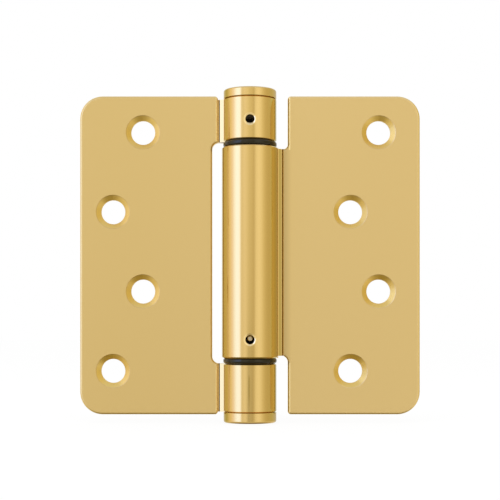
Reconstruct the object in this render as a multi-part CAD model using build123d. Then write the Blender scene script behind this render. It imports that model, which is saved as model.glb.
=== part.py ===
from build123d import *
import math
import os

# A self-closing spring hinge, open flat. Millimetres, with x to the right, y away from the face
# that carries the countersinks, and z up along the pivot axis. Heights are measured from the
# leaves' mid-height until the parts are written, and FRAME_LIFT then centres the whole hinge.
LEAF_HEIGHT = 101.6
LEAF_REACH = 54.25
SHEET = 2.4
FACE_Y = 0.85
CORNER_R = 7.2
SMALL_CORNER_R = 0.95
EDGE_R = 0.75
NOTCH_REACH = 12.1

# Screw holes: four to a leaf in a zigzag, for countersunk screws.
HOLE_PITCH = 25.4
HOLE_LIFT = 1.15
HOLE_R = 3.84
SINK_R = 5.48
SINK_ANGLE = 100
FIXED_HOLES_X = (34.2, 43.75)
SPRING_HOLES_X = (41.1, 32.1)

# End knuckles, rolled from the fixed leaf, and the long barrel, rolled from the spring leaf.
KNUCKLE_R = 8.42
KNUCKLE_BEND_X = 10.15
KNUCKLE_LIP_X = 9.92
UPPER_KNUCKLE = (36.05, 49.6)
LOWER_KNUCKLE = (-49.9, -34.5)
KNUCKLE_NOTCH_R = 2.2
BARREL_R = 8.95
BARREL_BEND_X = 10.75
BARREL_LIP_X = 10.38
BARREL = (-32.75, 34.2)
TAB = (-32.1, 33.9)
UPPER_TAB_NOTCH_R = 1.6
LOWER_TAB_NOTCH_R = 2.1
BEND_R = 0.4
END_CHAMFER = 0.4

# The roll's free end flares out to the bend and leaves a narrow seam beside it.
LIP_START = 1
LIP_INSIDE = 14
LIP_GAP = 0.14
LIP_R = 0.1

# Radial holes: a window for the tension pin, and the anchor pin's hole.
WINDOW_Z = 42.15
ANCHOR_PIN_Z = -26.88
PIN_HOLE_R = 1.45
PIN_SINK_R = 2.0
PIN_SINK = 0.28

# Turned parts inside.
SEAT_GAP = 0.05
CAP_R = 8.4
CAP_TOP = 52.47
CAP_BOTTOM = -53.27
CAP_EDGE_R = 0.7
CAP_SEAM = 0.08
CAP_HOLE_R = 3.3
CAP_SEAT = 0.8
CAP_STEM_R = 3.0
CAP_STEM = 6.0
WASHER_R = 8.55
WASHER_EDGE_R = 0.35
JOURNAL_R = 4.05
JOURNAL_GAP = 0.05
UPPER_HUB_Z = 30.2
LOWER_HUB_Z = -28.9
SHANK_R = 5.97
SHANK_TOP = 50.4
HEX_FLATS = 5.0
HEX_DEPTH = 7.0
INDEX_HOLES = 6
INDEX_HOLE_R = 1.6
INDEX_LIFT = 0.7
INDEX_DEPTH = 2.2
DRILL_POINT = 0.8
CLIP_GROOVE_R = 3.3
CLIP_R = 5.6
CLIP = (29.15, 29.95)
CLIP_GAP_DEG = 70
ANCHOR = (-28.7, -20.0)
ANCHOR_PIN_R = 1.02
ANCHOR_PIN_LIFT = 0.4
ANCHOR_PIN_TIP = -7.4
ANCHOR_PIN_TAIL = 5.0
ANCHOR_SINK_R = 1.45
ANCHOR_SINK = 3.5

# Torsion spring of square wire, with a tang across each end that sits in a slotted stub.
WIRE = 2.2
SPRING_R = 6.15
SPRING_TURNS = 18
STEPS_PER_TURN = 16
STUB_R = 3.7
STUB = 3.4
SLOT = 2.3

BORE_R = BARREL_R - SHEET
KNUCKLE_BORE_R = KNUCKLE_R - SHEET
BACK_Y = FACE_Y + SHEET
FRAME_LIFT = -(CAP_TOP + CAP_BOTTOM) / 2
SPRING_BOTTOM = ANCHOR[1] + SEAT_GAP + WIRE / 2
SPRING_TOP = CLIP[0] - 0.2 - WIRE / 2
LOW = (Align.CENTER, Align.CENTER, Align.MIN)


def turned(*profile):
    """A solid turned about the pivot axis from its (radius, height) corners."""
    outline = Polyline(*[(r, 0, z) for r, z in profile], close=True)
    return revolve(make_face(outline), axis=Axis.Z)


def ring_edges(solid, radius, z):
    """The round edges of one radius at one height."""
    rings = solid.edges().filter_by(GeomType.CIRCLE)
    return rings.filter_by(lambda e: abs(e.radius - radius) < 1e-3 and abs(e.center().Z - z) < 1e-3)


def polar(radius, degrees):
    angle = math.radians(degrees)
    return (radius * math.cos(angle), radius * math.sin(angle))


def bend_angle(radius, bend_x):
    """Polar angle where the sheet, bent at bend_x on its face, meets the roll it is tangent to."""
    reach = math.hypot(bend_x, FACE_Y)
    return math.degrees(math.atan2(FACE_Y, bend_x) + math.acos((radius - SHEET) / reach))


def join_x(bend_x):
    """Where the flat of the leaf ends and the rounded bend starts."""
    return bend_x + 0.35 * BEND_R


def rolled_section(radius, bend_x, lip_x):
    """The sheet seen from the end: a bend, a slope tangent to the bore, and the roll to its lip."""
    bore = radius - SHEET
    start = bend_angle(radius, bend_x)
    middle = (start + 360) / 2
    cos_start, sin_start = polar(1, start)
    back_x = (radius - BACK_Y * sin_start) / cos_start
    tip = (lip_x, (bore - LIP_GAP - lip_x * cos_start) / sin_start)
    face_run = Line((join_x(bend_x), FACE_Y), (bend_x, FACE_Y))
    slope = Line((bend_x, FACE_Y), polar(bore, start))
    inside = ThreePointArc(polar(bore, start), polar(bore, middle), polar(bore, LIP_INSIDE))
    end = Line(polar(bore, LIP_INSIDE), tip)
    lip = Line(tip, polar(radius, LIP_START))
    outside = ThreePointArc(polar(radius, LIP_START), polar(radius, middle), polar(radius, start))
    back_slope = Line(polar(radius, start), (back_x, BACK_Y))
    joint = Line((back_x, BACK_Y), (join_x(bend_x), FACE_Y))
    section = make_face([face_run, slope, inside, end, lip, outside, back_slope, joint])
    section = fillet(section.vertices().sort_by_distance((*tip, 0))[0], LIP_R)
    return fillet(section.vertices().sort_by_distance((bend_x, FACE_Y, 0))[0], BEND_R)


def rolled_knuckle(radius, bend_x, lip_x, ends):
    bottom, top = ends
    roll = extrude(Pos(0, 0, bottom) * rolled_section(radius, bend_x, lip_x), top - bottom)
    rims = ring_edges(roll, radius, bottom) + ring_edges(roll, radius, top)
    return chamfer(rims, END_CHAMFER)


def radial_hole(radius, z):
    """A drilled hole from the front into the axis, with a shallow sink at its mouth."""
    front = Plane(origin=(0, -radius, z), z_dir=(0, 1, 0))
    hole = front * Cylinder(PIN_HOLE_R, radius - 1, align=LOW)
    mouth = Plane(origin=(0, -radius - PIN_SINK, z), z_dir=(0, 1, 0))
    mouth_r = 2 * PIN_SINK_R - PIN_HOLE_R
    return hole + mouth * Cone(mouth_r, PIN_HOLE_R, 2 * PIN_SINK, align=LOW)


def drilled(radius, z, hole_r, depth):
    """A blind hole from the front of a turned part, with the drill point's cone at its end."""
    front = Plane(origin=(0, -radius, z), z_dir=(0, 1, 0))
    end = Plane(origin=(0, depth - radius, z), z_dir=(0, 1, 0))
    point = end * Cone(hole_r, 0, DRILL_POINT, align=LOW)
    return front * Cylinder(hole_r, depth, align=LOW) + point


def screw_hole(x, z):
    depth = (SINK_R - HOLE_R) / math.tan(math.radians(SINK_ANGLE / 2))
    face = Plane(origin=(x, FACE_Y, z), z_dir=(0, 1, 0))
    return face * (Cylinder(HOLE_R, SHEET, align=LOW) + Cone(SINK_R, HOLE_R, depth, align=LOW))


def notch_cutter(x, bottom, top, radius):
    """A rounded slot in the plane of the leaf, from the pivot out to x."""
    return Pos(x / 2, (bottom + top) / 2) * RectangleRounded(x, top - bottom, radius)


def leaf_plate(bend_x, cutters, small_corners, holes_x):
    """The flat of a leaf, built on the +x side: outline, notches, soft face edges and screw holes."""
    inner = join_x(bend_x)
    half = LEAF_HEIGHT / 2
    outline = Pos((inner + LEAF_REACH) / 2, 0) * Rectangle(LEAF_REACH - inner, LEAF_HEIGHT)
    for cutter in cutters:
        outline -= cutter
    outer = [(LEAF_REACH, half), (LEAF_REACH, -half)]
    for corners, radius in ((outer, CORNER_R), (small_corners, SMALL_CORNER_R)):
        picked = [outline.vertices().sort_by_distance((x, z, 0))[0] for x, z in corners]
        outline = fillet(picked, radius)
    plate = extrude(Plane.XZ.offset(-FACE_Y) * outline, -SHEET)
    face = plate.faces().sort_by(Axis.Y)[0]
    rim = face.outer_wire().edges().filter_by(lambda e: e.center().X > inner + 1e-3)
    plate = fillet(rim, EDGE_R)
    for i in range(4):
        z = HOLE_LIFT + (1.5 - i) * HOLE_PITCH
        plate -= screw_hole(holes_x[i % 2], z)
    return plate


def end_knuckle_leaf():
    """The fixed leaf: flat plate with a short knuckle rolled at each end of its long notch."""
    half = LEAF_HEIGHT / 2
    inner = join_x(KNUCKLE_BEND_X)
    notch = notch_cutter(NOTCH_REACH, LOWER_KNUCKLE[1], UPPER_KNUCKLE[0], KNUCKLE_NOTCH_R)
    corners = [(inner, half), (inner, -half)]
    leaf = leaf_plate(KNUCKLE_BEND_X, [notch], corners, FIXED_HOLES_X)
    for ends in (UPPER_KNUCKLE, LOWER_KNUCKLE):
        leaf += rolled_knuckle(KNUCKLE_R, KNUCKLE_BEND_X, KNUCKLE_LIP_X, ends)
    return mirror(leaf, about=Plane.YZ) - radial_hole(KNUCKLE_R, WINDOW_Z)


def spring_barrel_leaf():
    """The moving leaf: flat plate with the long barrel rolled from its middle tab."""
    half = LEAF_HEIGHT / 2
    past = half + 5
    upper = notch_cutter(NOTCH_REACH, TAB[1], past, UPPER_TAB_NOTCH_R)
    lower = notch_cutter(NOTCH_REACH, -past, TAB[0], LOWER_TAB_NOTCH_R)
    corners = [(NOTCH_REACH, half), (NOTCH_REACH, -half)]
    leaf = leaf_plate(BARREL_BEND_X, [upper, lower], corners, SPRING_HOLES_X)
    barrel = rolled_knuckle(BARREL_R, BARREL_BEND_X, BARREL_LIP_X, BARREL)
    relief = 2.0
    for edge, align in ((TAB[1], Align.MIN), (TAB[0], Align.MAX)):
        corner = Pos(BARREL_R + 0.05, 0, edge)
        barrel -= corner * Box(4, 2 * BARREL_R, relief, align=(Align.MIN, Align.CENTER, align))
    return leaf + barrel - radial_hole(BARREL_R, ANCHOR_PIN_Z)


def tension_adjuster():
    """The turning shank in the upper knuckle: hex socket on top, index holes round it, slotted stub."""
    stub_end = SPRING_TOP - STUB
    shoulder = UPPER_KNUCKLE[0] + 0.1
    body = turned(
        (0, stub_end),
        (STUB_R, stub_end),
        (STUB_R, CLIP[0] - 0.03),
        (CLIP_GROOVE_R, CLIP[0] - 0.03),
        (CLIP_GROOVE_R, CLIP[1] + 0.03),
        (JOURNAL_R, CLIP[1] + 0.03),
        (JOURNAL_R, shoulder),
        (SHANK_R, shoulder),
        (SHANK_R, SHANK_TOP),
        (0, SHANK_TOP),
    )
    body = chamfer(ring_edges(body, SHANK_R, SHANK_TOP), 0.3)
    hexagon = RegularPolygon(HEX_FLATS / 2, 6, major_radius=False)
    body -= extrude(Pos(0, 0, SHANK_TOP - HEX_DEPTH) * hexagon, HEX_DEPTH)
    for i in range(INDEX_HOLES):
        hole = drilled(SHANK_R, WINDOW_Z + INDEX_LIFT, INDEX_HOLE_R, INDEX_DEPTH)
        body -= Rot(0, 0, i * 360 / INDEX_HOLES) * hole
    slot_top = SPRING_TOP + WIRE / 2 + SEAT_GAP
    slot = Box(2 * STUB_R, SLOT, slot_top - stub_end, align=(Align.CENTER, Align.CENTER, Align.MAX))
    return body - Pos(0, 0, slot_top) * slot


def adjuster_clip():
    """An open retaining ring in the groove below the upper washer's hub."""
    ring = turned(
        (CLIP_GROOVE_R + 0.02, CLIP[0]),
        (CLIP_R, CLIP[0]),
        (CLIP_R, CLIP[1]),
        (CLIP_GROOVE_R + 0.02, CLIP[1]),
    )
    reach = 2 * CLIP_R
    half = math.radians(CLIP_GAP_DEG / 2)
    side = (reach * math.cos(half), reach * math.sin(half), 0)
    wedge = make_face(Polyline((0, 0, 0), side, (side[0], -side[1], 0), close=True))
    mouth = extrude(Pos(0, 0, CLIP[0] - 1) * wedge, 3)
    return ring - Rot(0, 0, 90) * mouth


def top_cap():
    """The button over the upper knuckle, with a hole in its middle for the hex key."""
    bottom = UPPER_KNUCKLE[1] + SEAT_GAP
    cap = turned((0, bottom), (CAP_R, bottom), (CAP_R, CAP_TOP), (0, CAP_TOP))
    cap = fillet(ring_edges(cap, CAP_R, CAP_TOP), CAP_EDGE_R)
    cap = chamfer(ring_edges(cap, CAP_R, bottom), CAP_SEAM)
    cap -= Pos(0, 0, bottom) * Cylinder(CAP_HOLE_R, CAP_TOP - bottom, align=LOW)
    cap -= Pos(0, 0, bottom) * Cylinder(SHANK_R + 0.01, CAP_SEAT, align=LOW)
    return chamfer(ring_edges(cap, CAP_HOLE_R, CAP_TOP), 0.4)


def bottom_cap():
    """The closed button under the lower knuckle, with the stem that holds it."""
    top = LOWER_KNUCKLE[0] - SEAT_GAP
    cap = turned((0, CAP_BOTTOM), (CAP_R, CAP_BOTTOM), (CAP_R, top), (0, top))
    cap = fillet(ring_edges(cap, CAP_R, CAP_BOTTOM), CAP_EDGE_R)
    cap = chamfer(ring_edges(cap, CAP_R, top), CAP_SEAM)
    stem = Pos(0, 0, top) * Cylinder(CAP_STEM_R, CAP_STEM, align=LOW)
    tip = top + CAP_STEM
    return cap + chamfer(ring_edges(stem, CAP_STEM_R, tip), 0.4)


def lower_pivot():
    """The plug pressed in the lower knuckle, with the journal that the barrel turns on."""
    bottom = LOWER_KNUCKLE[0]
    shoulder = LOWER_KNUCKLE[1] - 0.1
    tip = LOWER_HUB_Z - SEAT_GAP
    body_r = KNUCKLE_BORE_R - 0.02
    pivot = turned(
        (0, bottom),
        (body_r, bottom),
        (body_r, shoulder),
        (JOURNAL_R, shoulder),
        (JOURNAL_R, tip),
        (0, tip),
    )
    pivot = chamfer(ring_edges(pivot, JOURNAL_R, tip), 0.4)
    depth = CAP_STEM + 0.5
    return pivot - Pos(0, 0, bottom) * Cylinder(CAP_STEM_R + 0.01, depth, align=LOW)


def flanged_washer(face_z, knuckle_z, hub_z):
    """A bush for one end of the barrel: the flange that shows as a ring, and a hub in the bore."""
    hub_r = BORE_R - 0.02
    bore = JOURNAL_R + JOURNAL_GAP
    washer = turned(
        (bore, hub_z),
        (hub_r, hub_z),
        (hub_r, face_z),
        (WASHER_R, face_z),
        (WASHER_R, knuckle_z),
        (bore, knuckle_z),
    )
    rims = ring_edges(washer, WASHER_R, face_z) + ring_edges(washer, WASHER_R, knuckle_z)
    return fillet(rims, WASHER_EDGE_R)


def spring_anchor():
    """The plug pinned in the barrel's lower end, with the slotted stub that holds the spring."""
    bottom, top = ANCHOR
    tip = SPRING_BOTTOM + STUB
    body_r = BORE_R - 0.02
    plug = turned((0, bottom), (body_r, bottom), (body_r, top), (STUB_R, top), (STUB_R, tip), (0, tip))
    plug -= Pos(0, 0, top) * Box(2 * STUB_R, SLOT, STUB + WIRE, align=LOW)
    plug -= drilled(BORE_R, ANCHOR_PIN_Z, ANCHOR_SINK_R, ANCHOR_SINK)
    hole = Plane(origin=(0, -BORE_R, ANCHOR_PIN_Z + ANCHOR_PIN_LIFT), z_dir=(0, 1, 0))
    return plug - hole * Cylinder(ANCHOR_PIN_R + 0.01, BORE_R + ANCHOR_PIN_TAIL, align=LOW)


def anchor_pin():
    """The dowel through barrel and anchor, with its domed end set back in the hole."""
    start = Plane(origin=(0, ANCHOR_PIN_TIP, ANCHOR_PIN_Z + ANCHOR_PIN_LIFT), z_dir=(0, 1, 0))
    pin = start * Cylinder(ANCHOR_PIN_R, ANCHOR_PIN_TAIL - ANCHOR_PIN_TIP, align=LOW)
    tip = pin.edges().filter_by(GeomType.CIRCLE).sort_by(Axis.Y)[0]
    return fillet(tip, 0.7)


def torsion_spring():
    """Square wire wound round the stubs, and turned in across each end to seat in its slot."""
    mean_r = SPRING_R - WIRE / 2
    height = SPRING_TOP - SPRING_BOTTOM
    steps = SPRING_TURNS * STEPS_PER_TURN
    sections = []
    for i in range(steps + 1):
        angle = 360 * i / STEPS_PER_TURN
        place = Pos(0, 0, SPRING_BOTTOM + height * i / steps) * Rot(0, 0, angle) * Pos(mean_r, 0, 0)
        sections.append(place * (Plane.XZ * Rectangle(WIRE, WIRE)))
    spring = loft(sections, ruled=True)
    inner_end = -STUB_R + 0.2
    length = SPRING_R - inner_end
    for z in (SPRING_BOTTOM, SPRING_TOP):
        spring += Pos(inner_end + length / 2, 0, z) * Box(length, WIRE, WIRE)
    return spring


PARTS = {
    "end_knuckle_leaf": end_knuckle_leaf(),
    "spring_barrel_leaf": spring_barrel_leaf(),
    "tension_adjuster": tension_adjuster(),
    "adjuster_clip": adjuster_clip(),
    "top_cap": top_cap(),
    "bottom_cap": bottom_cap(),
    "lower_pivot": lower_pivot(),
    "upper_washer": flanged_washer(BARREL[1], UPPER_KNUCKLE[0] - SEAT_GAP, UPPER_HUB_Z),
    "lower_washer": flanged_washer(BARREL[0], LOWER_KNUCKLE[1] + SEAT_GAP, LOWER_HUB_Z),
    "spring_anchor": spring_anchor(),
    "anchor_pin": anchor_pin(),
    "torsion_spring": torsion_spring(),
}

os.makedirs("parts", exist_ok=True)
for name, shape in PARTS.items():
    export_step(Pos(0, 0, FRAME_LIFT) * shape, f"parts/{name}.step")
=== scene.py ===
# %% [markdown]
# # A brass-finished spring hinge, open flat
#
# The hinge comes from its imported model: two rolled leaves, a long barrel between two short
# knuckles, black washers and button caps. This script keeps those parts where they are, gives
# each its finish, and turns the two washers again with a rounder rim. All lengths are metres,
# x runs across the leaves, y away from the camera, and z up along the pivot.

# %% Load the model and note its size
import math

import bmesh
import bpy
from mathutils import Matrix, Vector


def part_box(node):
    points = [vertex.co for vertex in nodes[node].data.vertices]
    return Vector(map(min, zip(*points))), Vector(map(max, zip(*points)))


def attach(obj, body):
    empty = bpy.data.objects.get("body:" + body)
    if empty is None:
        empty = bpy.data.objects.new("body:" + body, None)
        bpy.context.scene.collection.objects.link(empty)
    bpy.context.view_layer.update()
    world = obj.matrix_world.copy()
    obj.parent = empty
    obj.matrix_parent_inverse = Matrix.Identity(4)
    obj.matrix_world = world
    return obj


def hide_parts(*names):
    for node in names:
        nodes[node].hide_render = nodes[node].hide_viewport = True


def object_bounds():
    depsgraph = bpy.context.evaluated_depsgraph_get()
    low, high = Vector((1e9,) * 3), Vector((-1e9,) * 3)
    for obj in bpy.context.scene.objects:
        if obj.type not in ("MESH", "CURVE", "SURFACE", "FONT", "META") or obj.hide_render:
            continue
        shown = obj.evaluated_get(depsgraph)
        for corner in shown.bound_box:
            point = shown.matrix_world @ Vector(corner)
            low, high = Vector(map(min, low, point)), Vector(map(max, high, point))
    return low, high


MM = 0.001
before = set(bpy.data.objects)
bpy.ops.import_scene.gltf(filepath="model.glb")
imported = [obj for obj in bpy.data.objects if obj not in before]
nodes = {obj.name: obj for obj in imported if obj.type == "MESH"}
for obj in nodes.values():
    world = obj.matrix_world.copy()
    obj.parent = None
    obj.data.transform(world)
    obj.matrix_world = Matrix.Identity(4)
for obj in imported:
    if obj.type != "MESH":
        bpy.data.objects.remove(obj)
model_low, model_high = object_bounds()
print("model box:", [round(v / MM, 2) for v in (*model_low, *model_high)], "mm")

# %% [markdown]
# ## Camera
#
# The picture looks straight at the open leaves. Their outline stays square while the barrel's
# ends curve, so the lens is level and a little below the middle of the hinge, and the frame is
# shifted up instead of the camera being tilted. A shifted lens keeps upright edges upright.

# %% Place the camera in front, level, with a shifted frame
PICTURE_PX = 500
PX_PER_MM = 3.133
HORIZON_PX = 328
LEAF_MIDDLE_PX = 255.25
EYE_TO_LEAF = 0.430
SENSOR_MM = 36
LEAF_FACE_Y = 0.85 * MM
LEAF_MIDDLE_Z = 0.4 * MM

focal_px = PX_PER_MM / MM * EYE_TO_LEAF
eye_z = LEAF_MIDDLE_Z - (HORIZON_PX - LEAF_MIDDLE_PX) / PX_PER_MM * MM

lens = bpy.data.cameras.new("camera")
lens.sensor_width = SENSOR_MM
lens.lens = focal_px / PICTURE_PX * SENSOR_MM
lens.shift_y = (HORIZON_PX - PICTURE_PX / 2) / PICTURE_PX
camera = bpy.data.objects.new("camera", lens)
camera.location = (0, LEAF_FACE_Y - EYE_TO_LEAF, eye_z)
camera.rotation_euler = (math.radians(90), 0, 0)
bpy.context.scene.collection.objects.link(camera)
bpy.context.scene.camera = camera
bpy.context.scene.view_settings.view_transform = "Standard"
print("lens", round(lens.lens, 1), "mm, eye at", [round(v / MM, 1) for v in camera.location], "mm")

# %% [markdown]
# ## Helpers for node trees
#
# Every finish below is a small tree of shader nodes. In the editor they would be dragged and
# wired by hand. Here the first helpers add a node, join two sockets and close a tree. The others
# each stand for a sum, a mask or a blend, so that a finish reads as a short list of what it does.

# %% Define helpers that add and join nodes
def grey(value):
    return (value, value, value, 1)


def new_material(name):
    material = bpy.data.materials.new(name)
    material.use_nodes = True
    tree = material.node_tree
    tree.nodes.clear()
    return material, tree


def add_node(tree, kind, values=None, **settings):
    node = tree.nodes.new(kind)
    for name, value in settings.items():
        setattr(node, name, value)
    for name, value in (values or {}).items():
        node.inputs[name].default_value = value
    return node


def join(tree, source, output, target, entry):
    tree.links.new(source.outputs[output], target.inputs[entry])


def show(tree, shader, output):
    """Close a tree: what this shader puts out is the surface."""
    out = add_node(tree, "ShaderNodeOutputMaterial")
    join(tree, shader, output, out, "Surface")


def split_axes(tree, place):
    """A piece's own coordinates, taken apart into x, y and z."""
    split = add_node(tree, "ShaderNodeSeparateXYZ")
    join(tree, place, "Object", split, "Vector")
    return split


print("node helpers:", [helper.__name__ for helper in (add_node, join, show, split_axes)])


# %% Define helpers for sums and masks
def calculate(tree, operation, first, second):
    """Do one sum: each of the two entries is a socket or a number."""
    sum_node = add_node(tree, "ShaderNodeMath", operation=operation)
    for i, entry in enumerate((first, second)):
        if isinstance(entry, (int, float)):
            sum_node.inputs[i].default_value = entry
        else:
            tree.links.new(entry, sum_node.inputs[i])
    return sum_node.outputs[0]


def product(tree, *entries):
    """All the entries multiplied with each other."""
    total = entries[0]
    for entry in entries[1:]:
        total = calculate(tree, "MULTIPLY", total, entry)
    return total


def distance_from(tree, vector, axes):
    """How far a place lies from the origin, when only the axes given as 1 count."""
    flat = add_node(tree, "ShaderNodeVectorMath", {1: axes}, operation="MULTIPLY")
    tree.links.new(vector, flat.inputs[0])
    reach = add_node(tree, "ShaderNodeVectorMath", operation="LENGTH")
    join(tree, flat, "Vector", reach, 0)
    return reach.outputs["Value"]


def smooth_level(tree, source, low, high):
    """A value that goes smoothly between two: low and high are pairs of input and output."""
    level = add_node(tree, "ShaderNodeMapRange", interpolation_type="SMOOTHSTEP")
    level.inputs["From Min"].default_value, level.inputs["To Min"].default_value = low
    level.inputs["From Max"].default_value, level.inputs["To Max"].default_value = high
    tree.links.new(source, level.inputs["Value"])
    return level.outputs["Result"]


def smooth_mm(tree, source, low, high):
    """The same, with both inputs given in millimetres."""
    return smooth_level(tree, source, (low[0] * MM, low[1]), (high[0] * MM, high[1]))


def band(tree, source, edges):
    """A mask that rises from 0 to 1 between the first two edges and falls between the last two."""
    rise, full, fade, end = edges
    up = smooth_level(tree, source, (rise, 0.0), (full, 1.0))
    down = smooth_level(tree, source, (fade, 1.0), (end, 0.0))
    return product(tree, up, down)


def band_mm(tree, source, edges):
    return band(tree, source, [edge * MM for edge in edges])


print("mask helpers:", [helper.__name__ for helper in (distance_from, smooth_mm, band_mm)])


# %% Define helpers that blend
def blend_values(tree, mask, low, high):
    """A value that goes from one to another as the mask goes from 0 to 1."""
    level = add_node(tree, "ShaderNodeMapRange", {"To Min": low, "To Max": high})
    tree.links.new(mask, level.inputs["Value"])
    return level.outputs["Result"]


def blend_colours(tree, mask, low, high):
    """A colour that goes from one to another as the mask goes from 0 to 1. Each of the two is a
    socket or three numbers."""
    blend = add_node(tree, "ShaderNodeMix", data_type="RGBA")
    for i, colour in ((6, low), (7, high)):
        if isinstance(colour, bpy.types.NodeSocket):
            tree.links.new(colour, blend.inputs[i])
        else:
            blend.inputs[i].default_value = (*colour, 1)
    tree.links.new(mask, blend.inputs[0])
    return blend.outputs[2]


def scale_colour(tree, colour, factor):
    scaled = add_node(tree, "ShaderNodeVectorMath", operation="SCALE")
    tree.links.new(colour, scaled.inputs[0])
    tree.links.new(factor, scaled.inputs["Scale"])
    return scaled.outputs["Vector"]


print("blend helpers:", [helper.__name__ for helper in (blend_values, blend_colours, scale_colour)])

# %% [markdown]
# ## Studio
#
# Metal shows what stands around it, so the room is as much a part of the look as the brass.
# The backdrop and floor are white. A round tent stands about the hinge, seen only in the metal:
# its brightness changes round the circle, like a long soft lamp on the left, a darker gap
# behind the camera, a weaker lamp on the right and dim sides. The barrel draws those as bands.
# Real lamps could do this, but each would be one more thing to aim. One painted wall shows all
# the bands in a single table.

# %% Light the world white
world = bpy.data.worlds.new("white_room")
world.use_nodes = True
bpy.context.scene.world = world
room_tree = world.node_tree
room_tree.nodes.clear()
room_light = add_node(room_tree, "ShaderNodeBackground", {"Color": grey(1), "Strength": 1.0})
room_out = add_node(room_tree, "ShaderNodeOutputWorld")
join(room_tree, room_light, "Background", room_out, "Surface")
print("world strength", room_light.inputs["Strength"].default_value)

# %% List the tent's bands
# Angle in degrees from the camera's side, positive to the right, and the light seen there.
TENT_LIGHT = [
    (-180, (0.90, 0.90, 0.90)),
    (-120, (0.85, 0.80, 0.60)),
    (-92, (1.14, 1.04, 0.78)),
    (-76, (1.30, 1.27, 1.60)),
    (-65, (1.45, 1.75, 2.90)),
    (-56, (1.55, 1.95, 3.60)),
    (-43, (1.55, 1.90, 3.40)),
    (-39, (1.30, 1.38, 1.70)),
    (-35, (1.04, 1.03, 0.98)),
    (-30, (1.10, 1.08, 1.03)),
    (-22, (1.17, 1.15, 1.12)),
    (-13, (1.085, 1.06, 0.95)),
    (-4, (0.96, 0.93, 0.77)),
    (8, (0.90, 0.85, 0.66)),
    (15, (0.83, 0.77, 0.57)),
    (19, (0.92, 0.88, 0.72)),
    (25, (1.15, 1.13, 1.02)),
    (37, (1.25, 1.23, 1.16)),
    (47, (1.17, 1.14, 0.99)),
    (59, (0.96, 0.90, 0.66)),
    (70, (0.83, 0.76, 0.50)),
    (82, (0.77, 0.69, 0.42)),
    (110, (0.72, 0.70, 0.42)),
    (150, (0.80, 0.78, 0.70)),
    (180, (0.90, 0.90, 0.90)),
]
STRONGEST = max(max(light) for _, light in TENT_LIGHT)
print(len(TENT_LIGHT), "bands, the strongest", STRONGEST)


# %% Read the bands by the angle about the pivot
def compass_bands(tree, split):
    """A colour ramp holds colours up to 1, so it holds the table divided by its strongest."""
    flip = add_node(tree, "ShaderNodeMath", {1: -1.0}, operation="MULTIPLY")
    join(tree, split, "Y", flip, 0)
    angle = add_node(tree, "ShaderNodeMath", operation="ARCTAN2")
    join(tree, split, "X", angle, 0)
    join(tree, flip, 0, angle, 1)
    turn = add_node(tree, "ShaderNodeMapRange", {"From Min": -math.pi, "From Max": math.pi})
    join(tree, angle, 0, turn, "Value")
    ramp = add_node(tree, "ShaderNodeValToRGB")
    stops = ramp.color_ramp.elements
    while len(stops) > 1:
        stops.remove(stops[-1])
    for i, (degrees, light) in enumerate(TENT_LIGHT):
        stop = stops[0] if i == 0 else stops.new((degrees + 180) / 360)
        stop.color = (*[value / STRONGEST for value in light], 1)
    join(tree, turn, "Result", ramp, "Fac")
    return ramp


# %% [markdown]
# ### The tent's wall and ground
#
# The bands alone are the same from ground to lid, and the metal would show them as ruled lines. So
# the wall grows a little stronger towards the top. A wide strip behind the camera is darker low
# down, as where a stand would be, and brighter high up, and a narrow post left of the middle is
# darker still near the ground. The ground lies well below the floor. It is dark in the middle,
# where edges that face down look, and pale further out.

# %% Paint the wall
# Each pair is a height, or for the strip a distance aside, in metres, and the value there. The
# post has four places across: its dark rises between the first two and fades between the others.
WALL_LEVEL = ((-0.10, 0.97), (0.22, 1.03))
STRIP_ASIDE = ((0.13, 1.0), (0.22, 0.0))
STRIP_LOW = ((-0.09, -0.18), (0.02, 0.0))
STRIP_HIGH = ((0.05, 0.0), (0.20, 0.06))
POST_ACROSS = (-0.095, -0.075, -0.055, -0.035)
POST_LOW = ((-0.07, -0.22), (-0.045, 0.0))


def wall_material():
    """The bands, with the strip and the post behind the camera."""
    material, tree = new_material("tent_wall")
    split = split_axes(tree, add_node(tree, "ShaderNodeTexCoord"))
    across, height = split.outputs["X"], split.outputs["Z"]
    behind_camera = calculate(tree, "LESS_THAN", split.outputs["Y"], 0.0)
    aside = calculate(tree, "ABSOLUTE", across, 0.0)
    strip = product(tree, smooth_level(tree, aside, *STRIP_ASIDE), behind_camera)
    post = product(tree, band(tree, across, POST_ACROSS), behind_camera)
    change = 1.0
    for mask, levels in ((strip, STRIP_LOW), (strip, STRIP_HIGH), (post, POST_LOW)):
        part = product(tree, mask, smooth_level(tree, height, *levels))
        change = calculate(tree, "ADD", part, change)
    level = product(tree, smooth_level(tree, height, *WALL_LEVEL), STRONGEST, change)
    glow = add_node(tree, "ShaderNodeEmission")
    join(tree, compass_bands(tree, split), "Color", glow, "Color")
    tree.links.new(level, glow.inputs["Strength"])
    show(tree, glow, "Emission")
    return material


wall_paint = wall_material()
print(wall_paint.name, "has", len(wall_paint.node_tree.nodes), "nodes")

# %% Paint the ground and the lid
GROUND_DARK = (0.29, 0.24, 0.09)
GROUND_PALE = (0.95, 0.91, 0.80)
GROUND_SPREAD = ((0.07, 0.0), (0.27, 1.0))
LID_LIGHT = (0.90, 0.95, 1.10)


def ground_material():
    """Dark under the hinge, pale further out: both are distances from the pivot in metres."""
    material, tree = new_material("tent_ground")
    place = add_node(tree, "ShaderNodeTexCoord")
    reach = distance_from(tree, place.outputs["Object"], (1.0, 1.0, 0.0))
    outwards = smooth_level(tree, reach, *GROUND_SPREAD)
    glow = add_node(tree, "ShaderNodeEmission")
    tree.links.new(blend_colours(tree, outwards, GROUND_DARK, GROUND_PALE), glow.inputs["Color"])
    show(tree, glow, "Emission")
    return material


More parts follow.
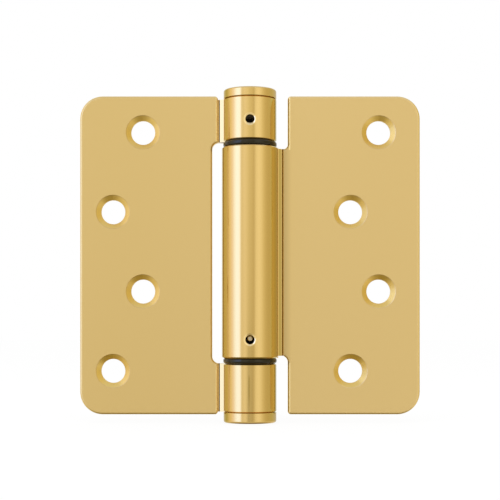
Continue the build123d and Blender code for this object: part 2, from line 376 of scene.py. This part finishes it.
def lid_material():
    material, tree = new_material("tent_lid")
    glow = add_node(tree, "ShaderNodeEmission", {"Color": (*LID_LIGHT, 1), "Strength": 1.0})
    show(tree, glow, "Emission")
    return material


ground_paint, lid_paint = ground_material(), lid_material()
print("painted", ground_paint.name, "and", lid_paint.name)

# %% Pitch the tent: wall, lid and ground, seen by reflections only
TENT_RADIUS = 0.75
TENT_TOP = 0.75
TENT_BOTTOM = -0.20
TENT_SIDES = 96


def stage_piece(name, form, material):
    mesh = bpy.data.meshes.new(name)
    form.to_mesh(mesh)
    form.free()
    mesh.materials.append(material)
    piece = bpy.data.objects.new(name, mesh)
    bpy.context.scene.collection.objects.link(piece)
    return piece


def disc_form(radius, z):
    form = bmesh.new()
    ring = bmesh.ops.create_circle(form, cap_ends=True, radius=radius, segments=TENT_SIDES)
    bmesh.ops.translate(form, verts=ring["verts"], vec=(0, 0, z))
    return form


wall_form = disc_form(TENT_RADIUS, TENT_BOTTOM)
bmesh.ops.delete(wall_form, geom=wall_form.faces[:], context="FACES_ONLY")
raised = bmesh.ops.extrude_edge_only(wall_form, edges=wall_form.edges[:])
upper_rim = [v for v in raised["geom"] if isinstance(v, bmesh.types.BMVert)]
bmesh.ops.translate(wall_form, verts=upper_rim, vec=(0, 0, TENT_TOP - TENT_BOTTOM))
tent = (
    stage_piece("tent_wall", wall_form, wall_paint),
    stage_piece("tent_ground", disc_form(TENT_RADIUS, TENT_BOTTOM), ground_paint),
    stage_piece("tent_lid", disc_form(TENT_RADIUS, TENT_TOP), lid_paint),
)
for piece in tent:
    piece.visible_camera = False
    piece.visible_diffuse = False
    piece.visible_shadow = False
print("tent of", len(tent), "pieces,", TENT_RADIUS * 2, "m across")

# %% [markdown]
# ## Floor and lamp
#
# The floor lies just under the lower cap. It has to look as white as the backdrop and still
# take the hinge's shadow, so most of its brightness is its own and a small part is lit. The metal
# doesn't mirror it, but the tent behind it. One soft lamp overhead gives the shadow its place.

# %% Lay the floor
FLOOR_SIDE = 6.0
FLOOR_GAP = 0.2 * MM
FLOOR_GLOW = 0.93
FLOOR_PAINT = 0.9


def floor_material():
    material, tree = new_material("white_floor")
    paint = add_node(tree, "ShaderNodeBsdfDiffuse", {"Color": grey(FLOOR_PAINT)})
    glow = add_node(tree, "ShaderNodeEmission", {"Color": grey(1), "Strength": 1.0})
    blend = add_node(tree, "ShaderNodeMixShader", {"Fac": FLOOR_GLOW})
    join(tree, paint, "BSDF", blend, 1)
    join(tree, glow, "Emission", blend, 2)
    show(tree, blend, "Shader")
    return material


floor_z = model_low.z - FLOOR_GAP
floor_form = bmesh.new()
bmesh.ops.create_grid(floor_form, x_segments=1, y_segments=1, size=FLOOR_SIDE / 2)
bmesh.ops.translate(floor_form, verts=floor_form.verts[:], vec=(0, 0, floor_z))
floor = stage_piece("floor", floor_form, floor_material())
floor.visible_glossy = False
print("floor at", round(floor_z / MM, 2), "mm")

# %% Hang one soft lamp overhead
LAMP_PLACE = (-0.1, -0.25, 0.75)
LAMP_ACROSS = 0.5
LAMP_WATTS = 2.0

lamp_light = bpy.data.lights.new("overhead", "AREA")
lamp_light.shape = "DISK"
lamp_light.size = LAMP_ACROSS
lamp_light.energy = LAMP_WATTS
lamp = bpy.data.objects.new("overhead", lamp_light)
lamp.location = LAMP_PLACE
lamp.rotation_euler = (Vector((0, 0, 0)) - lamp.location).to_track_quat("-Z", "Y").to_euler()
lamp.visible_glossy = False
bpy.context.scene.collection.objects.link(lamp)
print("overhead lamp", lamp_light.energy, "W")

# %% [markdown]
# ## Effects that the finishes share
#
# Brushing and turning leave fine streaks, and no surface is quite even. That grain, and the
# question how far a place lies from the pivot, come up in several finishes. Each is a node group:
# built once, with named inputs, and placed in a material with that material's own values.

# %% Make a node group for fine grain
STREAK_STRETCH = (1.0, 1.0, 0.04)


def grain_group():
    """Streaks along z and a slow cloud, both from 0 to 1, for any satin surface."""
    tree = bpy.data.node_groups.new("fine_grain", "ShaderNodeTree")
    tree.interface.new_socket("Vector", in_out="INPUT", socket_type="NodeSocketVector")
    tree.interface.new_socket("Streak Size", in_out="INPUT", socket_type="NodeSocketFloat")
    tree.interface.new_socket("Cloud Size", in_out="INPUT", socket_type="NodeSocketFloat")
    tree.interface.new_socket("Streaks", in_out="OUTPUT", socket_type="NodeSocketFloat")
    tree.interface.new_socket("Cloud", in_out="OUTPUT", socket_type="NodeSocketFloat")
    entry = add_node(tree, "NodeGroupInput")
    exit_node = add_node(tree, "NodeGroupOutput")
    stretch = add_node(tree, "ShaderNodeMapping", {"Scale": STREAK_STRETCH})
    join(tree, entry, "Vector", stretch, "Vector")
    streaks = add_node(tree, "ShaderNodeTexNoise", {"Detail": 3.0, "Roughness": 0.6})
    join(tree, stretch, "Vector", streaks, "Vector")
    join(tree, entry, "Streak Size", streaks, "Scale")
    join(tree, streaks, "Fac", exit_node, "Streaks")
    cloud = add_node(tree, "ShaderNodeTexNoise", {"Detail": 2.0, "Roughness": 0.5})
    join(tree, entry, "Vector", cloud, "Vector")
    join(tree, entry, "Cloud Size", cloud, "Scale")
    join(tree, cloud, "Fac", exit_node, "Cloud")
    return tree


GRAIN = grain_group()


def grain_of(tree, place, streak_size, cloud_size):
    grain = add_node(tree, "ShaderNodeGroup", node_tree=GRAIN)
    grain.inputs["Streak Size"].default_value = streak_size
    grain.inputs["Cloud Size"].default_value = cloud_size
    join(tree, place, "Object", grain, "Vector")
    return grain


print("group", GRAIN.name, "made")


# %% Make a node group for the distance from the pivot
def zone_group():
    """A mask that is 0 inside Inner and 1 outside Outer, both distances from the pivot axis."""
    tree = bpy.data.node_groups.new("pivot_zone", "ShaderNodeTree")
    tree.interface.new_socket("Vector", in_out="INPUT", socket_type="NodeSocketVector")
    tree.interface.new_socket("Inner", in_out="INPUT", socket_type="NodeSocketFloat")
    tree.interface.new_socket("Outer", in_out="INPUT", socket_type="NodeSocketFloat")
    tree.interface.new_socket("Mask", in_out="OUTPUT", socket_type="NodeSocketFloat")
    entry = add_node(tree, "NodeGroupInput")
    exit_node = add_node(tree, "NodeGroupOutput")
    reach = distance_from(tree, entry.outputs["Vector"], (1.0, 1.0, 0.0))
    level = add_node(tree, "ShaderNodeMapRange", interpolation_type="SMOOTHSTEP")
    tree.links.new(reach, level.inputs["Value"])
    join(tree, entry, "Inner", level, "From Min")
    join(tree, entry, "Outer", level, "From Max")
    join(tree, level, "Result", exit_node, "Mask")
    return tree


ZONE = zone_group()


def zone_mask(tree, place, inner_mm, outer_mm):
    zone = add_node(tree, "ShaderNodeGroup", node_tree=ZONE)
    zone.inputs["Inner"].default_value = inner_mm * MM
    zone.inputs["Outer"].default_value = outer_mm * MM
    join(tree, place, "Object", zone, "Vector")
    return zone.outputs["Mask"]


print("group", ZONE.name, "made")

# %% [markdown]
# ## Brass of the leaves
#
# The leaves were brushed and lacquered, so they mirror only broad shapes. Their colour also holds
# painted light and shade: paler towards the right, darker towards the top, painted shade close to
# the barrel, where less light comes, and painted light in the crease beside it. A painted highlight
# runs along the left leaf's bend and the edges of the right leaf's notches. Cut faces, such as the
# walls of the countersinks, are a deeper yellow. Painting these in a picture would need an
# unwrapped mesh. Bands along x, y and z follow the shape without one.

# %% Mix the colour of the leaves
DEEP_LEAF_BRASS = (0.698, 0.505, 0.205)
# The paler brass is painted light, towards the right of the leaves.
PAINTED_LIT_LEAF_BRASS = (0.776, 0.576, 0.268)
# A painted highlight colour, for the left bend and the notch edges.
HIGHLIGHT_BRASS = (0.960, 0.770, 0.400)
CUT_BRASS = (0.790, 0.570, 0.175)

# Places in mm. A pair also gives the value there, four numbers are the edges of a band.
# The first four give painted light and shade: paler to the right, darker to the top, painted shade
# near the barrel and painted light in the crease.
PAINTED_LIGHT_ACROSS = ((-60, 0.0), (25, 1.0))
PAINTED_SHADE_UP = ((-60, 0.99), (60, 0.96))
BARREL_SHADE = ((10.0, 0.74), (13.6, 1.0))
SEAM = (9.5, 9.6, 10.3, 10.65)
SEAM_PAINTED_LIGHT = 1.5
LEFT_BEND = (-11.1, -10.8, -10.3, -10.2)
NOTCH_EDGE = (12.35, 12.5, 12.75, 12.95)
NOTCH_FROM = 34
CUT_DEPTH = (0.90, 1.15, 3.05, 3.22)


def leaf_colour(tree, split):
    """Painted light and shade: paler right, darker at the top and near the barrel, light in the
    crease.
    """
    across, upwards = split.outputs["X"], split.outputs["Z"]
    pale = smooth_mm(tree, across, *PAINTED_LIGHT_ACROSS)
    paint = blend_colours(tree, pale, DEEP_LEAF_BRASS, PAINTED_LIT_LEAF_BRASS)
    strength = smooth_mm(tree, upwards, *PAINTED_SHADE_UP)
    # Painted light in the crease, over the painted shade near the barrel.
    seam_painted_light = blend_values(tree, band_mm(tree, across, SEAM), 1.0, SEAM_PAINTED_LIGHT)
    shade = product(tree, seam_painted_light, smooth_mm(tree, across, *BARREL_SHADE))
    on_left = calculate(tree, "LESS_THAN", across, 0.0)
    shade = calculate(tree, "MAXIMUM", shade, on_left)
    return scale_colour(tree, paint, product(tree, strength, shade))


def painted_highlight_colour(tree, split, paint):
    """A painted highlight on the left bend and on the edges of the right leaf's notches."""
    across, upwards = split.outputs["X"], split.outputs["Z"]
    from_middle = calculate(tree, "ABSOLUTE", upwards, 0.0)
    by_notch = calculate(tree, "GREATER_THAN", from_middle, NOTCH_FROM * MM)
    notch_edge = product(tree, band_mm(tree, across, NOTCH_EDGE), by_notch)
    # Painted highlight along the left bend and the notch edges.
    painted_highlight = calculate(tree, "MAXIMUM", band_mm(tree, across, LEFT_BEND), notch_edge)
    return blend_colours(tree, painted_highlight, paint, HIGHLIGHT_BRASS)


def cut_colour(tree, split, paint):
    """The lacquer, deeper yellow on cut faces: the countersinks and the outline's walls."""
    return blend_colours(tree, band_mm(tree, split.outputs["Y"], CUT_DEPTH), paint, CUT_BRASS)


print("leaf brass from", DEEP_LEAF_BRASS, "to", PAINTED_LIT_LEAF_BRASS)

# %% [markdown]
# ## Brass of the barrel, knuckles and caps
#
# These were buffed as they turned, so they mirror the studio more sharply. Painted shade darkens
# both sides of the barrel and the strip of sheet beside it, a painted olive reflection tints the
# right side, and the caps take weaker painted shade. The lower knuckle has one painted dark
# reflection, a streak, and the shallow sinks round the two small holes carry a painted highlight.
# All of it is colour in thin bands, with no height.

# %% Mix the colour of the rolls
ROLL_BRASS = (0.680, 0.479, 0.184)
# A painted olive reflection, then painted shade for the barrel's sides, the strip beside it and the
# caps.
OLIVE_PAINTED_REFLECTION = (0.700, 0.545, 0.190)
LEFT_PAINTED_SHADE = (0.510, 0.363, 0.050)
RIGHT_PAINTED_SHADE = (0.485, 0.392, 0.112)
STRIP_PAINTED_SHADE = (0.476, 0.350, 0.114)
CAP_PAINTED_SHADE = (0.560, 0.400, 0.140)
# A painted dark reflection, for the streak on the lower knuckle.
STREAK_PAINTED_REFLECTION = (0.550, 0.385, 0.120)

# Places in mm, written as in the cell of the leaves.
LEFT_ACROSS = ((-7.6, 1.0), (-6.0, 0.0))
LEFT_DEPTH = (-7.0, -3.8, -2.0, -0.6)
RIGHT_DEPTH = ((2, 1.0), (6, 0.0))
OLIVE_ACROSS = (6.4, 6.8, 8.0, 8.2)
RIGHT_ACROSS = (7.3, 8.1, 8.45, 8.6)
STRIP_ACROSS = (9.2, 9.35, 9.75, 9.95)
CAPS_FROM = 49.95
STREAK_ACROSS = (-0.7, -0.35, -0.2, 0.15)
STREAK_UP = (-49, -43, -39, -37)


def roll_colour(tree, split):
    """Buffed brass with painted shade on both sides. The caps take weaker painted shade."""
    across, depth, upwards = (split.outputs[axis] for axis in "XYZ")
    # Painted shade on the barrel's left side.
    left = smooth_mm(tree, across, *LEFT_ACROSS)
    left = product(tree, left, band_mm(tree, depth, LEFT_DEPTH))
    paint = blend_colours(tree, left, ROLL_BRASS, LEFT_PAINTED_SHADE)
    from_middle = calculate(tree, "ABSOLUTE", upwards, 0.0)
    on_cap = calculate(tree, "GREATER_THAN", from_middle, CAPS_FROM * MM)
    olive = blend_colours(tree, on_cap, OLIVE_PAINTED_REFLECTION, ROLL_BRASS)
    side_shade = blend_colours(tree, on_cap, RIGHT_PAINTED_SHADE, CAP_PAINTED_SHADE)
    before_back = smooth_mm(tree, depth, *RIGHT_DEPTH)
    # Painted olive reflection, and painted shade on the right side and on the strip beside the
    # barrel.
    layers = ((OLIVE_ACROSS, olive), (RIGHT_ACROSS, side_shade), (STRIP_ACROSS, STRIP_PAINTED_SHADE))
    for edges, colour in layers:
        mask = product(tree, band_mm(tree, across, edges), before_back)
        paint = blend_colours(tree, mask, paint, colour)
    return paint


def streak_reflection_colour(tree, split, paint):
    """The rolls' brass with one painted dark reflection, a streak on the front of the lower
    knuckle.
    """
    across, depth, upwards = (split.outputs[axis] for axis in "XYZ")
    # Painted dark reflection in a streak on the lower knuckle's front.
    streak = product(
        tree,
        band_mm(tree, across, STREAK_ACROSS),
        band_mm(tree, upwards, STREAK_UP),
        calculate(tree, "LESS_THAN", depth, 0.0),
    )
    return blend_colours(tree, streak, paint, STREAK_PAINTED_REFLECTION)


# The darker colours printed here are painted shade.
print("roll brass", ROLL_BRASS, "under tarnish", LEFT_PAINTED_SHADE, "and", RIGHT_PAINTED_SHADE)

# %% Paint highlights on the rims of the two small holes
# A painted highlight colour for the sinks round the two small holes.
RIM_HIGHLIGHT_BRASS = (0.810, 0.610, 0.290)
WINDOW_Z = 42.55 * MM
ANCHOR_HOLE_Z = -26.48 * MM
RIM_REACH = ((1.98, 1.0), (2.06, 0.0))


def rim_highlight_colour(tree, place, split, paint):
    """A painted highlight on the front sinks, round the window and the anchor pin's hole."""
    discs = []
    for hole_z in (WINDOW_Z, ANCHOR_HOLE_Z):
        centre = {1: (0.0, 0.0, hole_z)}
        about = add_node(tree, "ShaderNodeVectorMath", centre, operation="SUBTRACT")
        join(tree, place, "Object", about, 0)
        reach = distance_from(tree, about.outputs["Vector"], (1.0, 0.0, 1.0))
        discs.append(smooth_mm(tree, reach, *RIM_REACH))
    on_front = calculate(tree, "LESS_THAN", split.outputs["Y"], 0.0)
    # Painted highlight on both rims.
    rims = product(tree, calculate(tree, "MAXIMUM", *discs), on_front)
    return blend_colours(tree, rims, paint, RIM_HIGHLIGHT_BRASS)


print("rims at", [round(hole_z / MM, 2) for hole_z in (WINDOW_Z, ANCHOR_HOLE_Z)], "mm up")

# %% [markdown]
# ## One brass for four pieces
#
# Leaf and barrel are one sheet, so they can't be two materials without a hard line between them.
# One material serves both, and the mask on the distance from the pivot says which is which. The
# same mask makes the leaves rougher than the rolls, and the grain makes both a little uneven.

# %% Put the brass together and dress leaves and caps
LEAF_ROUGH = 0.36
ROLL_ROUGH = 0.12
ROUGH_DRIFT = 0.03
LEAF_STARTS = (9.95, 10.25)
GRAIN_DEPTH = 0.01 * MM


def brass_material():
    material, tree = new_material("brass_finish")
    place = add_node(tree, "ShaderNodeTexCoord")
    split = split_axes(tree, place)
    grain = grain_of(tree, place, streak_size=4000.0, cloud_size=60.0)
    on_leaf = zone_mask(tree, place, *LEAF_STARTS)
    roll = streak_reflection_colour(tree, split, roll_colour(tree, split))
    roll = rim_highlight_colour(tree, place, split, roll)
    leaf = painted_highlight_colour(tree, split, leaf_colour(tree, split))
    leaf = cut_colour(tree, split, leaf)
    paint = blend_colours(tree, on_leaf, roll, leaf)
    rough = blend_values(tree, on_leaf, ROLL_ROUGH, LEAF_ROUGH)
    drift = blend_values(tree, grain.outputs["Streaks"], -ROUGH_DRIFT, ROUGH_DRIFT)
    relief = add_node(tree, "ShaderNodeBump", {"Strength": 0.2, "Distance": GRAIN_DEPTH})
    join(tree, grain, "Streaks", relief, "Height")
    surface = add_node(tree, "ShaderNodeBsdfPrincipled", {"Metallic": 1.0})
    tree.links.new(paint, surface.inputs["Base Color"])
    tree.links.new(calculate(tree, "ADD", rough, drift), surface.inputs["Roughness"])
    join(tree, relief, "Normal", surface, "Normal")
    show(tree, surface, "BSDF")
    return material


def dress(piece, material):
    piece.data.materials.clear()
    piece.data.materials.append(material)


brass_finish = brass_material()
brass_names = ("end_knuckle_leaf", "spring_barrel_leaf", "top_cap", "bottom_cap")
for name in brass_names:
    dress(nodes[name], brass_finish)
print("brass on", brass_names)

# %% [markdown]
# ## Steel parts
#
# The pin, the adjuster, the plugs and the spring are plain turned or drawn steel. Only the pin's
# end and a sliver of the adjuster's shank show, in the two small holes. Both have to be bright
# there and the holes black, so the shank is bright on its skin and its holes are painted with
# shade: the mask on the distance from the pivot tells them apart, as it does for the brass.

# %% Make the steels
BRIGHT_STEEL = (0.54, 0.48, 0.36)
DARK_STEEL = (0.11, 0.10, 0.095)
WIRE_STEEL = (0.16, 0.16, 0.17)
CLOUD_DIM = 0.92
SHANK_SKIN = (5.80, 5.93)


def steel_material(name, colour, rough, spread, skin=None):
    """A turned metal whose roughness wanders by spread along its grain. The skin, where one is
    given, is the colour of the shank's outside, and the first colour is painted shade in its holes."""
    material, tree = new_material(name)
    place = add_node(tree, "ShaderNodeTexCoord")
    grain = grain_of(tree, place, streak_size=3000.0, cloud_size=200.0)
    dim = [CLOUD_DIM * part for part in colour]
    paint = blend_colours(tree, grain.outputs["Cloud"], dim, colour)
    if skin:
        paint = blend_colours(tree, zone_mask(tree, place, *SHANK_SKIN), paint, skin)
    uneven = blend_values(tree, grain.outputs["Streaks"], rough - spread, rough + spread)
    surface = add_node(tree, "ShaderNodeBsdfPrincipled", {"Metallic": 1.0})
    tree.links.new(paint, surface.inputs["Base Color"])
    tree.links.new(uneven, surface.inputs["Roughness"])
    show(tree, surface, "BSDF")
    return material


bright_steel = steel_material("bright_steel", BRIGHT_STEEL, rough=0.38, spread=0.05)
# The shank's holes take the dark colour as painted shade.
shank_steel_hole_shade = steel_material("shank_steel_hole_shade", DARK_STEEL, rough=0.42, spread=0.06, skin=BRIGHT_STEEL)
dark_steel = steel_material("dark_steel", DARK_STEEL, rough=0.42, spread=0.06)
spring_steel = steel_material("spring_steel", WIRE_STEEL, rough=0.35, spread=0.08)
steel_of = {
    "anchor_pin": bright_steel,
    "tension_adjuster": shank_steel_hole_shade,
    "lower_pivot": dark_steel,
    "spring_anchor": dark_steel,
    "adjuster_clip": spring_steel,
    "torsion_spring": spring_steel,
}
for name, steel in steel_of.items():
    dress(nodes[name], steel)
    print(name, "in", steel.name)

# %% [markdown]
# ## Washers
#
# Each washer is the flange of a bush: a black ring between knuckle and barrel, and a hub that
# goes into the barrel. Its rim is well rounded, so that light runs round the middle of it and its
# edges sink into the gaps. A cylinder with a bevel would give the flange alone. Six corners spun
# about the pivot give flange, hub and bore in one, and then only the two rims are bevelled.

# %% Make the nylon
NYLON_BLACK = (0.002, 0.002, 0.002)
NYLON_SHEEN = (1.0, 0.90, 0.64)
NYLON_SHINE = 0.45
NYLON_ROUGH = (0.05, 0.10)


def nylon_material():
    material, tree = new_material("black_nylon")
    place = add_node(tree, "ShaderNodeTexCoord")
    grain = grain_of(tree, place, streak_size=900.0, cloud_size=400.0)
    rough = blend_values(tree, grain.outputs["Cloud"], *NYLON_ROUGH)
    surface = add_node(tree, "ShaderNodeBsdfPrincipled", {"Base Color": (*NYLON_BLACK, 1)})
    surface.inputs["Specular IOR Level"].default_value = NYLON_SHINE
    surface.inputs["Specular Tint"].default_value = (*NYLON_SHEEN, 1)
    tree.links.new(rough, surface.inputs["Roughness"])
    show(tree, surface, "BSDF")
    return material


black_nylon = nylon_material()
print(black_nylon.name, "with a shine of", NYLON_SHINE)

# %% Define how a bush is spun and its rims bevelled
WASHER_R = 8.55 * MM
HUB_R = 6.53 * MM
BUSH_BORE_R = 4.1 * MM
RIM_ROUND = 0.42
RIM_SEGMENTS = 6
SPIN_STEPS = 128
MERGE = 0.001 * MM
CLOSE = 0.01 * MM


def on_rim(edge):
    """True for an edge that runs round the outside of the flange at one height."""
    first, second = (v.co for v in edge.verts)
    nearest = min(math.hypot(co.x, co.y) for co in (first, second))
    return nearest > WASHER_R - CLOSE and abs(first.z - second.z) < CLOSE


def bush_form(hub_z, face_z, knuckle_z):
    """A flange with rounded rims between barrel face and knuckle, and a hub in the barrel."""
    form = bmesh.new()
    corners = [
        (BUSH_BORE_R, hub_z), (BUSH_BORE_R, knuckle_z), (WASHER_R, knuckle_z),
        (WASHER_R, face_z), (HUB_R, face_z), (HUB_R, hub_z),
    ]
    points = [form.verts.new((r, 0, z)) for r, z in corners]
    edges = [form.edges.new((points[i - 1], points[i])) for i in range(len(points))]
    bmesh.ops.spin(
        form, geom=points + edges, cent=(0, 0, 0), axis=(0, 0, 1), dvec=(0, 0, 0),
        angle=2 * math.pi, steps=SPIN_STEPS, use_merge=True, use_duplicate=False,
    )
    bmesh.ops.remove_doubles(form, verts=form.verts[:], dist=MERGE)
    bmesh.ops.recalc_face_normals(form, faces=form.faces[:])
    bmesh.ops.bevel(
        form, geom=[edge for edge in form.edges if on_rim(edge)], affect="EDGES",
        offset=RIM_ROUND * abs(knuckle_z - face_z), segments=RIM_SEGMENTS, profile=0.5,
        material=-1,
    )
    return form


print("bush profile", [round(r / MM, 2) for r in (BUSH_BORE_R, HUB_R, WASHER_R)], "mm in radius")

# %% Put both bushes in the washers' places
UPPER_FLANGE = 1.8 * MM
LOWER_FLANGE = 1.7 * MM
SHARP_ANGLE = math.radians(40)


def finished_piece(name, form, node, material):
    """Make an object that stands for a node: smooth, but with its real corners kept sharp."""
    for face in form.faces:
        face.smooth = True
    for edge in form.edges:
        edge.smooth = edge.calc_face_angle(0) < SHARP_ANGLE
    mesh = bpy.data.meshes.new(name)
    form.to_mesh(mesh)
    form.free()
    mesh.materials.append(material)
    piece = bpy.data.objects.new(name, mesh)
    bpy.context.scene.collection.objects.link(piece)
    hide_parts(node)
    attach(piece, "spring_leaf")
    print(piece.name, len(piece.data.polygons), "faces")


upper_low, upper_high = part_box("upper_washer")
lower_low, lower_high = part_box("lower_washer")
upper_form = bush_form(upper_low.z, upper_high.z - UPPER_FLANGE, upper_high.z)
lower_form = bush_form(lower_high.z, lower_low.z + LOWER_FLANGE, lower_low.z)
finished_piece("upper_bush", upper_form, "upper_washer", black_nylon)
finished_piece("lower_bush", lower_form, "lower_washer", black_nylon)
